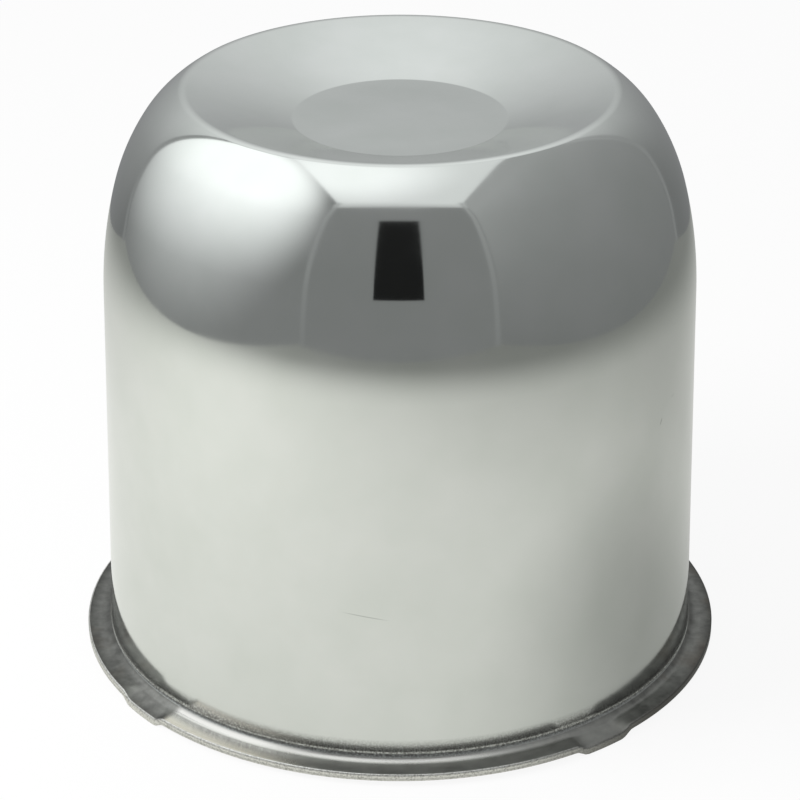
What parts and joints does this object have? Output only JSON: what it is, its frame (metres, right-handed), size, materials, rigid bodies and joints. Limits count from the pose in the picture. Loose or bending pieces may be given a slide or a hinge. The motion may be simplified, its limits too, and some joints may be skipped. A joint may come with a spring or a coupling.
{
  "type": "wheel center cap",
  "caption": "Tall round push-through wheel center cap drawn from polished stainless sheet, with a dished crown, flat disc and a narrow flat flange with pressed nubs; it covers the hub end.",
  "frame": {"origin": "on the cap's axis, in the plane that the nubs of the flange stand on", "axes": "+Z along the axis from the mouth towards the crown; the picture looks along +Y, with +X to its right"},
  "size_m": [0.1168, 0.1168, 0.1055],
  "materials": {
    "polished_stainless": "mirror-polished stainless steel sheet; the flange and the inside are left duller, and the trimmed rim is bare cut metal"
  },
  "bodies": {
    "root": {"center_cap": "polished_stainless"}
  },
  "joints": []
}
